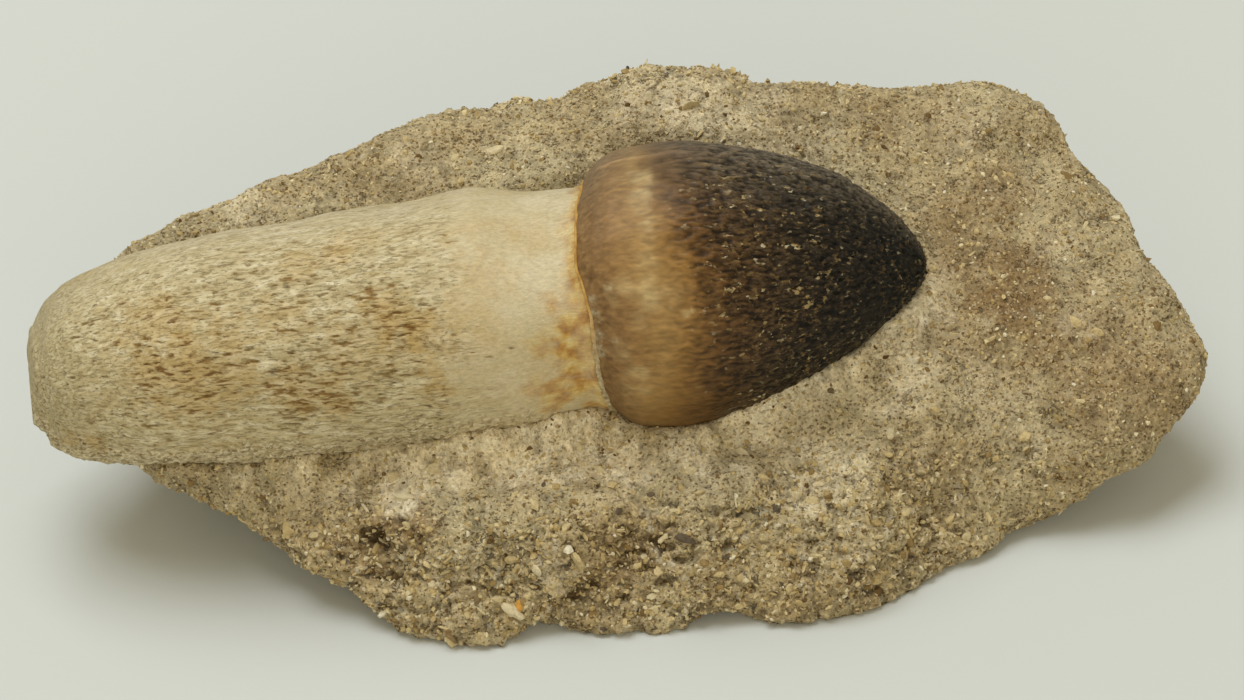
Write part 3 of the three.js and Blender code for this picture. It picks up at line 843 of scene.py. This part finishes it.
def make_crown(material):
    """Enamel with wrinkles, knots and a keel line, pale patches by its base, and where its specks may lie."""
    flat, quads, normals, turn, along, edge = crown_skin()
    length = ease(5.5, 16, along)
    knotted = ease(12, 21, along)
    bent = wavered(flat, 1.7, (4, 3), 0.3)
    ridges = noise(bent, (1.35, 0.42, 0.42), 5) + 0.6 * noise(bent, (0.6, 0.27, 0.27), 6)
    ridges = np.clip(ridges, -1, 1)
    knots = noise(flat, (0.7, 0.4, 0.4), 7)
    line = noise(flat, (7, 0.42, 0.42), 8)
    swell = 0.14 * noise(flat, (6, 2.6, 2.6), 9)
    keel = np.exp(-((turn - KEEL_TURN - KEEL_CLIMB * along - 1.5 * noise(flat, 3, 16)) / 1.5) ** 2)
    keel *= ease(0.5, 2.5, along)
    height = swell + (0.015 + 0.16 * length) * ridges + 0.02 * line + 0.13 * knotted * knots + 0.13 * keel
    flat = flat + normals * np.where(along > 0.25, height, 0)[:, None]
    where = ease(7, 16, along) * ease(62, 105, turn) * ease(245, 215, turn)
    where *= 1 - 0.55 * ease(21, 28, along)
    mottle = 0.35 * noise(flat, (1.8, 1.2, 1.2), 14) + 0.25 * noise(flat, (1.4, 0.4, 0.4), 15)
    tree = tree_of(flat, triangles_of(quads))
    patches = spots_mask(tree, flat, CROWN_PALE_SPOTS, mottle)
    drawn_edge = ease(8.0, 6.9, along - 0.5 * mottle) + ease(130, 150, turn)
    band = patches * np.clip(drawn_edge, 0.25, 1)
    smear = spots_mask(tree, flat, CROWN_SMEAR_SPOTS, 1.3 * mottle)
    # The wrinkles and keel also set the painted shade in grooves and painted highlight on crests that the crown's
    # colour gets.
    values = {
        "along": along, "turn": turn, "fold_shade_highlight": 0.5 + (0.07 + 0.43 * length) * ridges + 0.22 * keel,
        "speck": where, "band": band, "smear": smear,
    }
    piece = add_piece("crown_enamel", flat, quads, material, values, ["tooth_crown"])
    return piece, edge


def root_skin(crown_edge):
    """The root's smooth form, cut fine: points, quads, normals, angle, and distance from the joint."""
    points, faces = solid("tooth_root")
    tree = tree_of(points, faces)
    end_x = points[:, 0].min()
    joint = crown_edge + 0.25
    start = end_x + ROOT_CAP
    eased = lambda t: 0.35 * t ** 2.2 + 0.65 * t
    coarse_at = np.linspace(0, 1, 60)
    coarse_x = start + (joint - 1.2 - start) * eased(coarse_at)[:, None]
    coarse_x[0] += 0.03
    coarse = np.nan_to_num(radii(tree, coarse_x), nan=5.0) @ SMOOTHER.T
    fine_at = np.linspace(0, 1, 168)
    radius = fine_rows(coarse, coarse_at, fine_at)
    x = start + (joint - start) * eased(fine_at)[:, None]
    # The root flares to the crown's edge, so that the two meet flush.
    flare = ease(2.4, 0.3, joint - x)
    radius = radius + np.maximum(CROWN_EDGE_RADIUS - 0.1 - radius, 0) * flare
    shares = np.sin(np.linspace(0.08, 1, 14, endpoint=False) * math.pi / 2)[:, None]
    cap_x = end_x + ROOT_CAP * (1 - np.sqrt(1 - shares ** 2))
    x = np.vstack([np.repeat(cap_x, len(joint), axis=1), x])
    radius = np.vstack([shares * radius[0], radius])
    grid = tooth_points(x, radius)
    grid[..., 2] += np.interp(x, ROOT_DROP_X, ROOT_DROP)
    along = np.concatenate([[60], (joint - x).ravel(), [0]])
    return *ring_skin(grid, end_x, joint.mean()), along


def make_root(material, crown_edge):
    """Bone with lengthwise pits and ripples, sandy residue, and the masks of its stains."""
    flat, quads, normals, turn, along = root_skin(crown_edge)

    wander = 3.2 * noise(flat, 4.5, 20) + 1.6 * noise(flat, (2.2, 1.2, 1.2), 19)
    worn = ease(7.0, 19.0, along + wander) * (0.55 + 0.45 * ease(60, 130, turn))
    end_on = ease(52, 56.5, along)
    broad = noise(flat, (13, 7, 7), 21)
    ripple = noise(flat, (5, 1.3, 1.3), 22)
    fibre = noise(flat, (2.6, 0.34, 0.34), 23)
    bent = wavered(flat, 1.3, (17, 18), 0.24)
    dash = noise(bent, (1.1, 0.29, 0.29), 24) + 0.5 * noise(bent, (1.9, 0.55, 0.55), 25)
    spot_noise = 0.55 * noise(flat, 1.6, 28) + 0.4 * noise(flat, 0.7, 29)
    tree = tree_of(flat, triangles_of(quads))
    ochre = spots_mask(tree, flat, ROOT_OCHRE_SPOTS, spot_noise)
    crowd = noise(flat, (6, 3.2, 3.2), 26) + 0.2 * ease(110, 165, turn) - 0.45 * ease(42, 52, along)
    crowd += 0.7 * ochre
    threshold = 0.86 - 0.42 * worn - 0.26 * worn * crowd
    pit = ease(threshold, threshold + 0.25, dash)
    hump = np.exp(-((along - 11.5) / 4.5) ** 2) * np.exp(-((turn - 62) / 45) ** 2)
    height = 0.28 * broad + 0.1 * worn * ripple + 0.05 * worn * fibre - (0.03 + 0.11 * worn) * pit + 0.5 * hump
    height += end_on * 0.15 * noise(flat, 1.3, 27)
    residue = spots_mask(tree, flat, RESIDUE_SPOTS, 1.4 * spot_noise)
    low_edge = ease(196, 206, turn + 17 * spot_noise) * ease(280, 240, turn) * ease(3, 8, along)
    residue = np.maximum(residue, 0.9 * low_edge)
    dark = spots_mask(tree, flat, ROOT_DARK_SPOTS, 0.5 + 1.1 * noise(bent, (0.7, 0.3, 0.3), 33))
    crust = 0.7 + 0.9 * noise(flat, 0.5, 30) + 0.6 * noise(flat, 1.1, 34)
    height += (0.1 + 0.16 * low_edge) * residue * crust - 0.12 * dark
    flat = flat + normals * np.where(along > 1.0, height, 0)[:, None]

    stain_noise = 0.5 * noise(flat, (2.4, 2.4, 2.4), 31) + 0.35 * noise(flat, (1.2, 0.7, 0.7), 32)
    middle = np.exp(-((turn - 166) / 30) ** 2)
    reach = 1.9 + 3.0 * middle
    stain = 0.6 * ease(1.15, 0.1, along / reach - 0.8 * stain_noise)
    stain = np.maximum(stain, 0.85 * ease(1.5, 0.7, along + 0.6 * stain_noise))
    stain = np.maximum(stain, spots_mask(tree, flat, ROOT_STAIN_SPOTS, stain_noise))
    values = {
        "along": along, "turn": turn, "worn": worn, "pit": pit * (1 - 0.6 * residue), "residue": residue,
        "stain": np.clip(stain, 0, 0.9), "ochre": ochre, "dark": dark,
    }
    return add_piece("root_bone", flat, quads, material, values, ["tooth_root"])


def make_filler(material, crown_edge):
    """The sandy seam between root and crown: a bead that is fat on the lower flank and thin over the top."""
    fat = ease(135, 185, DEGREES) * ease(300, 240, DEGREES)
    probe = rim_ring(crown_edge, 11.4)
    size = 0.13 + 0.26 * fat * (0.7 + 0.6 * noise(probe, 1.9, 41) + 0.3 * noise(probe, 0.7, 43))
    offsets = np.linspace(0, 2 * math.pi, FILLER_AROUND, endpoint=False)
    out = CROWN_EDGE_RADIUS + 0.6 * size[:, None] * np.sin(offsets)
    x = crown_edge[:, None] - 0.1 + 1.2 * size[:, None] * np.cos(offsets)
    y = out * np.cos(ANGLES)[:, None]
    z = axis_z(crown_edge)[:, None] + out * np.sin(ANGLES)[:, None]
    beads = np.stack([x, y, z], axis=2)
    points = beads.reshape(-1, 3)
    ring, place = np.divmod(np.arange(len(points)), FILLER_AROUND)
    near = ring * FILLER_AROUND
    far = (ring + 1) % len(ANGLES) * FILLER_AROUND
    after = (place + 1) % FILLER_AROUND
    faces = np.stack([near + place, near + after, far + after, far + place], axis=1)
    normals = vertex_normals(points, triangles_of(faces))
    outward = unit(points - np.repeat(beads.mean(1), FILLER_AROUND, axis=0))
    if np.einsum("ij,ij->i", normals, outward).mean() < 0:
        faces = faces[:, ::-1]
    swell = 0.3 * np.repeat(size, FILLER_AROUND) * noise(points, 0.6, 42)
    points = points + outward * swell[:, None]
    values = {"fat": np.repeat(fat, FILLER_AROUND)}
    add_piece("seam_filler", points, faces, material, values)


# The rock

def evaluated(work):
    """The mesh of an object as its modifiers leave it. The object itself goes."""
    graph = bpy.context.evaluated_depsgraph_get()
    mesh = bpy.data.meshes.new_from_object(work.evaluated_get(graph))
    bpy.data.objects.remove(work)
    return mesh


def remeshed(points, faces, voxel):
    """A finer, even skin of a solid: its points, quads and edges, in millimetres."""
    work = new_object("work", new_mesh("work", points, faces, {}))
    modifier = work.modifiers.new("remesh", "REMESH")
    modifier.mode = "VOXEL"
    modifier.voxel_size = voxel * MM
    mesh = evaluated(work)
    points = read(mesh.vertices, "co", 3).astype(float) / MM
    quads = read(mesh.loops, "vertex_index", 1, np.int32).reshape(-1, 4)
    return points, quads, read(mesh.edges, "vertices", 2, np.int32)


def thinned(points, faces, values, hidden, wanted):
    """A copy with about the wanted number of triangles, which loses them where hidden is true."""
    work = new_object("work", new_mesh("work", points, faces, values))
    group = work.vertex_groups.new(name="hidden")
    for flag, weight in ((False, SHOWN_WEIGHT), (True, 1.0)):
        group.add(np.flatnonzero(hidden == flag).tolist(), weight, "REPLACE")
    modifier = work.modifiers.new("thin", "DECIMATE")
    modifier.ratio = wanted / (2.0 * len(faces))
    modifier.vertex_group = "hidden"
    modifier.vertex_group_factor = 10.0
    thin = evaluated(work)
    kept = {key: read(thin.attributes[key].data, "value", 1).ravel().astype(float) for key in values}
    return *mesh_arrays(thin), kept


def distance_to(pieces, points):
    """Distance of each point to the shown surface of some pieces, and the nearest place on it."""
    parts = [mesh_arrays(piece.data) for piece in pieces]
    starts = np.cumsum([0] + [len(part[0]) for part in parts])
    tree = tree_of(np.vstack([part[0] for part in parts]),
                   np.vstack([part[1] + start for part, start in zip(parts, starts)]))
    found = [tree.find_nearest(Vector(point)) for point in points]
    return np.array([hit[3] for hit in found]), np.array([hit[0] for hit in found])


def spots_mask(tree, points, spots, ragged):
    """How strongly each point is covered by soft-edged spots, given as (u, v, reach, amount)."""
    mask = np.zeros(len(points))
    for u, v, reach, amount in spots:
        middle, _ = seen_at(tree, u, v)
        if middle is not None:
            away = np.linalg.norm(points - middle, axis=1) / reach
            mask = np.maximum(mask, amount * ease(1.15, 0.25, away + ragged))
    return mask


def coarseness(points):
    """0 on the worn top of the rock, 1 on its broken front, back and feet."""
    x, y, z = points.T
    front = ease(-11.5, -16.5, y) * ease(12.5, 9.5, z)
    broken = np.maximum(np.maximum(front, ease(19.5, 23.5, y)), ease(10, 5, z))
    coarse = np.clip(broken + 0.3 * noise(points, 6, 50) - 0.1, 0, 1)
    return coarse * (1 - 0.65 * ease(26, 36, x))


def rock_relief(points, tree, coarse, noises):
    """How far the rock's crumb, slabs, holes, crevices and hollows stand out from its smooth form."""
    big, lump, knob, fine = noises
    bent = points + 0.35 * np.stack([knob, fine, lump], axis=1)
    middle, border, number = grain_cells(bent * (0.8, 1, 1.15), 1.3, 55)
    chip = 0.32 * ease(0.0, 0.3, border) + 0.5 * (number - 0.5) - 0.3 * middle
    middle_small, border_small, number_small = grain_cells(bent, 0.7, 56)
    grit = 0.5 * ease(0.0, 0.35, border_small) + 0.5 * (number_small - 0.5) - 0.4 * middle_small
    holes = ease(0.5, 0.85, noise(points, (1.7, 1.7, 1.2), 57))
    small_holes = ease(0.55, 0.8, noise(points, 0.85, 59))
    slabs = 0.9 * big + 0.5 * lump
    steps = np.round(slabs / 0.35) * 0.35 - slabs
    height = 0.25 * big + (0.14 + 0.16 * coarse) * lump + (0.08 + 0.14 * coarse) * knob + 0.09 * fine
    height += (0.08 + 0.5 * coarse) * chip + (0.2 + 0.16 * coarse) * grit + (0.26 + 0.38 * coarse) * steps
    height -= (0.12 + 0.45 * coarse) * holes + 0.32 * small_holes
    # Thin crevices, drawn out along the bedding
    crevice = np.exp(-(noise(bent, (4.6, 2.4, 1.5), 63) / 0.085) ** 2)
    crevice *= ease(0.0, 0.35, noise(points, (8, 5, 4), 64))
    height -= (0.07 + 0.4 * coarse) * crevice
    for u, v, reach, depth in HOLLOWS:
        spot, _ = seen_at(tree, u, v)
        if spot is not None:
            away = np.linalg.norm((points - spot) * (0.55, 1, 1.5), axis=1) + 0.35 * knob + 0.2 * fine
            height -= depth * ease(reach, 0.25 * reach, away)
    return height


def rise_by_tooth(points, distance, noises):
    """How far the rock is banked up against the tooth's front, raggedly, and along its tip."""
    big, lump, knob, fine = noises
    x, y, z = points.T
    near = ease(4.5, 0.5, distance)
    bank = near * ease(-6, -9, y) * ease(6, 11, z)
    bank *= 0.95 + 0.3 * big + 0.25 * lump + 0.35 * knob + 0.2 * fine
    bank *= 1.7 + 0.5 * ease(0, -8, x) - 0.9 * np.exp(-((x - 3) / 5) ** 2)
    apron = near * ease(1, -3, y) * ease(5, 12, x) * ease(8, 12, z)
    return bank + 1.25 * apron * (0.85 + 0.3 * lump + 0.2 * knob)


def make_rock(material, tooth):
    """The block of rock, which closes on the tooth."""
    points, faces = solid("rock_matrix")
    points, quads, edges = remeshed(points, faces, ROCK_VOXEL_COARSE)
    points = relax(points, edges, 22)
    points, quads, edges = remeshed(points, quads, ROCK_VOXEL)
    points = relax(points, edges, 5)
    underside = points[:, 2] < 0.25
    triangles = triangles_of(quads.tolist())
    normals = vertex_normals(points, triangles)
    distance, nearest = distance_to(tooth, points)
    tree = tree_of(points, triangles)
    coarse = coarseness(points)
    noises = [noise(points, size, seed) for size, seed in ROCK_NOISES]
    big, _, knob, fine = noises
    mottled = 0.45 * noise(points, 3.0, 58) + 0.25 * noise(points, 1.2, 60)
    x, y, _ = points.T
    scraped = ease(5.5, 0.6, distance + 2 * mottled) * ease(4, 12, x) * ease(3, -3, y)

    height = rock_relief(points, tree, coarse, noises)
    height *= (0.2 + 0.8 * ease(0.4, 1.8, distance)) * (1 - 0.4 * scraped)
    height = np.where(underside, np.minimum(height, 0) * 0.5, height)
    moved = points + normals * height[:, None]
    moved[:, 2] += rise_by_tooth(points, distance, noises)

    # The rock closes on the tooth: what faces it across the clearance is brought onto its surface.
    ragged = 1.0 + 0.5 * knob + 0.3 * fine
    touch = ease(1.15, 0.5, distance / ragged)[:, None]
    reach = unit(nearest - points) * (distance + 0.16)[:, None]
    moved = moved * (1 - touch) + (points + reach) * touch
    values = {
        # How low the relief lies, which the rock's material turns into painted shade in its hollows
        "cavity": height - 0.25 * big,
        "pale": np.maximum(spots_mask(tree, points, PALE_SPOTS, mottled), scraped),
        "warm": spots_mask(tree, points, WARM_SPOTS, mottled),
        "coarse": coarse,
        "clear": distance,
    }
    buried = (distance < 0.75) | underside
    for _ in range(7):
        buried[edges[:, 0]] &= buried[edges[:, 1]]
        buried[edges[:, 1]] &= buried[edges[:, 0]]
    moved[:, 2] = np.maximum(moved[:, 2], 0.0)
    points, triangles, values = thinned(inside_box(moved), quads, values, buried, ROCK_TRIANGLES)
    points = inside_box(points)
    add_piece("rock_body", points, triangles.tolist(), material, values, ["rock_matrix"])
    return points, triangles, values


def inside_box(points):
    """Points pulled back into the CAD model's box, a hair inside it."""
    low_corner, high_corner = (np.array(corner) / MM for corner in cad_bounds)
    return np.clip(points, low_corner + BOX_HAIR, high_corner - BOX_HAIR)


# Loose things on the rock

def icosphere(rounds):
    """Unit points and triangles of an icosahedron, cut finer some rounds."""
    golden = (1 + 5 ** 0.5) / 2
    points = [(-1, golden, 0), (1, golden, 0), (-1, -golden, 0), (1, -golden, 0), (0, -1, golden), (0, 1, golden),
              (0, -1, -golden), (0, 1, -golden), (golden, 0, -1), (golden, 0, 1), (-golden, 0, -1), (-golden, 0, 1)]
    faces = [(0, 11, 5), (0, 5, 1), (0, 1, 7), (0, 7, 10), (0, 10, 11), (1, 5, 9), (5, 11, 4), (11, 10, 2),
             (10, 7, 6), (7, 1, 8), (3, 9, 4), (3, 4, 2), (3, 2, 6), (3, 6, 8), (3, 8, 9), (4, 9, 5), (2, 4, 11),
             (6, 2, 10), (8, 6, 7), (9, 8, 1)]
    points = [tuple(unit(np.array(p, float))) for p in points]
    for _ in range(rounds):
        middles = {}

        def middle(a, b):
            key = (min(a, b), max(a, b))
            if key not in middles:
                points.append(tuple(unit(np.add(points[a], points[b]))))
                middles[key] = len(points) - 1
            return middles[key]

        faces = [part for a, b, c in faces for ab, bc, ca in [(middle(a, b), middle(b, c), middle(c, a))]
                 for part in ((a, ab, ca), (b, bc, ab), (c, ca, bc), (ab, bc, ca))]
    return np.array(points), np.array(faces)


def scattered(rng, points, triangles, weight, count):
    """Random places on a surface, and its normals there."""
    corners = points[triangles]
    crossed = np.cross(corners[:, 1] - corners[:, 0], corners[:, 2] - corners[:, 0])
    area = np.linalg.norm(crossed, axis=1) * weight[triangles].mean(1)
    chosen = rng.choice(len(triangles), count, p=area / area.sum())
    a, b = rng.random((2, count, 1))
    over = a + b > 1
    a, b = np.where(over, 1 - a, a), np.where(over, 1 - b, b)
    places = corners[chosen, 0] * (1 - a - b) + corners[chosen, 1] * a + corners[chosen, 2] * b
    return places, unit(crossed[chosen])


def random_frames(rng, normals, tilt):
    """For each normal, three unit axes: two about along the surface, one about along the normal."""
    up = unit(normals + tilt * rng.normal(size=normals.shape))
    side = unit(np.cross(up, rng.normal(size=up.shape)))
    return np.stack([side, np.cross(up, side), up], axis=1)


def strewn(name, rng, places, normals, sizes, tints, material, sink, jag, rounds=0, tilt=0.5):
    """Many small stones in one mesh. sizes holds each stone's three half-lengths."""
    shape, shape_faces = icosphere(rounds)
    frames = random_frames(rng, normals, tilt)
    local = shape[None] * (1 + jag * rng.normal(size=(len(places), len(shape), 1)))
    local = local * sizes[:, None, :]
    world = np.einsum("nki,nij->nkj", local, frames)
    world = world + (places + normals * (sizes[:, 2:] * (1 - 2 * sink)))[:, None, :]
    points = world.reshape(-1, 3)
    faces = (shape_faces[None] + (np.arange(len(places)) * len(shape))[:, None, None]).reshape(-1, 3)
    points[:, 2] = np.maximum(points[:, 2], 0.0)
    values = {"tint": np.repeat(tints, len(shape))}
    add_piece(name, points, faces.tolist(), material, values, smooth=False)


def make_sand(material, points, triangles, values):
    """Grains half bedded in the rock: coarser on its broken sides, finer on its worn top."""
    rng = np.random.default_rng(77)
    coarse = values["coarse"]
    clear = ease(0.1, 0.5, values["clear"]) * ease(0.3, 1.5, points[:, 2])
    for name, weight, count, size in (
        ("sand_coarse", clear * (0.1 + coarse), SAND_COUNT, 0.24),
        ("sand_fine", clear * (1.3 - coarse), SAND_COUNT, 0.17),
    ):
        places, normals = scattered(rng, points, triangles, weight, count)
        grain = size * np.exp(0.35 * rng.normal(size=(count, 1)))
        sizes = grain * (1, 0.75, 0.6) * (0.75 + 0.5 * rng.random((count, 3)))
        strewn(name, rng, places, normals, sizes, rng.random(count), material, sink=0.6, jag=0.22)


def make_chips(material, points, triangles, values):
    """Flat slivers of shell, bedded in the broken sides of the rock."""
    rng = np.random.default_rng(79)
    clear = ease(0.5, 1.0, values["clear"]) * ease(0.8, 2.5, points[:, 2])
    count = SLIVER_COUNT
    places, normals = scattered(rng, points, triangles, clear * (0.1 + values["coarse"]), count)
    length = 0.25 + 0.5 * rng.random((count, 1)) ** 2
    sizes = length * (1, 0.3, 0.16) * (0.7 + 0.6 * rng.random((count, 3)))
    tints = 0.38 + 0.5 * rng.random(count)
    strewn("shell_slivers", rng, places, normals, sizes, tints, material, sink=0.45, jag=0.14, tilt=0.4)


def make_clasts(material, points, triangles, values):
    """The clasts that stand out in the photograph, and more of their kind elsewhere."""
    rng = np.random.default_rng(81)
    tree = tree_of(points, triangles)
    found = [(seen_at(tree, u, v), length, tint) for u, v, length, tint in CLASTS]
    found = [(*hit, length, tint) for hit, length, tint in found if hit[0] is not None]
    places, normals, lengths, tints = (np.array(column) for column in zip(*found))
    clear = ease(1.0, 2.0, values["clear"]) * ease(1.0, 2.5, points[:, 2])
    count = CLAST_COUNT
    more, more_normals = scattered(rng, points, triangles, clear * (0.1 + values["coarse"]), count)
    dark = rng.random(count) < 0.12
    more_tints = np.where(dark, 0.15 * rng.random(count), 0.25 + 0.6 * rng.random(count))
    places = np.vstack([places, more])
    normals = np.vstack([normals, more_normals])
    lengths = np.concatenate([lengths, 0.5 + 1.3 * rng.random(count) ** 3])
    tints = np.concatenate([tints, more_tints])
    sizes = 0.5 * lengths[:, None] * (1, 0.6, 0.3) * (0.8 + 0.4 * rng.random((len(places), 3)))
    strewn("clasts", rng, places, normals, sizes, tints, material, rounds=1, sink=0.5, jag=0.1, tilt=0.3)


# Light, floor and camera

def floor_material():
    """Plain matt paper."""
    p = Paint("floor")
    p.feed(p.surface.inputs["Base Color"], FLOOR_TONE)
    p.surface.inputs["Roughness"].default_value = 0.8
    p.surface.inputs["Specular IOR Level"].default_value = 0.1
    return p.material


def make_panel(name, place, size, watts, colour):
    """A soft rectangular light that faces the object."""
    light = bpy.data.lights.new(name, "AREA")
    light.shape = "RECTANGLE"
    light.size, light.size_y = size
    light.energy = watts
    light.color = colour
    lamp = new_object(name, light)
    lamp.location = place
    lamp.rotation_euler = (PANELS_AIM - lamp.location).to_track_quat("-Z", "Y").to_euler()


def make_stage():
    half = FLOOR_HALF / MM
    corners = np.array([(-half, -half, 0), (half, -half, 0), (half, half, 0), (-half, half, 0)])
    mesh = new_mesh("floor", corners, [(0, 1, 2, 3)], {})
    mesh.materials.append(floor_material())
    floor = new_object("floor", mesh)

    world = bpy.data.worlds.new("studio")
    world.use_nodes = True
    background = world.node_tree.nodes["Background"]
    background.inputs["Color"].default_value = SKY_COLOUR
    background.inputs["Strength"].default_value = SKY_STRENGTH
    bpy.context.scene.world = world
    for panel in PANELS:
        make_panel(*panel)


def make_camera():
    _, _, back = camera_axes()
    data = bpy.data.cameras.new("camera")
    data.lens = CAMERA_LENS
    data.sensor_width = CAMERA_SENSOR
    data.sensor_fit = "HORIZONTAL"
    data.clip_start = 0.01
    camera = new_object("camera", data)
    camera.location = Vector((CAMERA_TARGET + back * CAMERA_DISTANCE) * MM)
    camera.rotation_euler = Vector(-back).to_track_quat("-Z", "Y").to_euler()
    bpy.context.scene.camera = camera


make_camera()
make_stage()
bpy.context.scene.view_settings.view_transform = "Standard"
crown, crown_edge = make_crown(crown_material())
root = make_root(root_material(), crown_edge)
make_filler(filler_material(), crown_edge)
rock_points, rock_triangles, rock_values = make_rock(rock_material(), [crown, root])
make_sand(grain_material(), rock_points, rock_triangles, rock_values)
clasts = clast_material()
make_chips(clasts, rock_points, rock_triangles, rock_values)
make_clasts(clasts, rock_points, rock_triangles, rock_values)
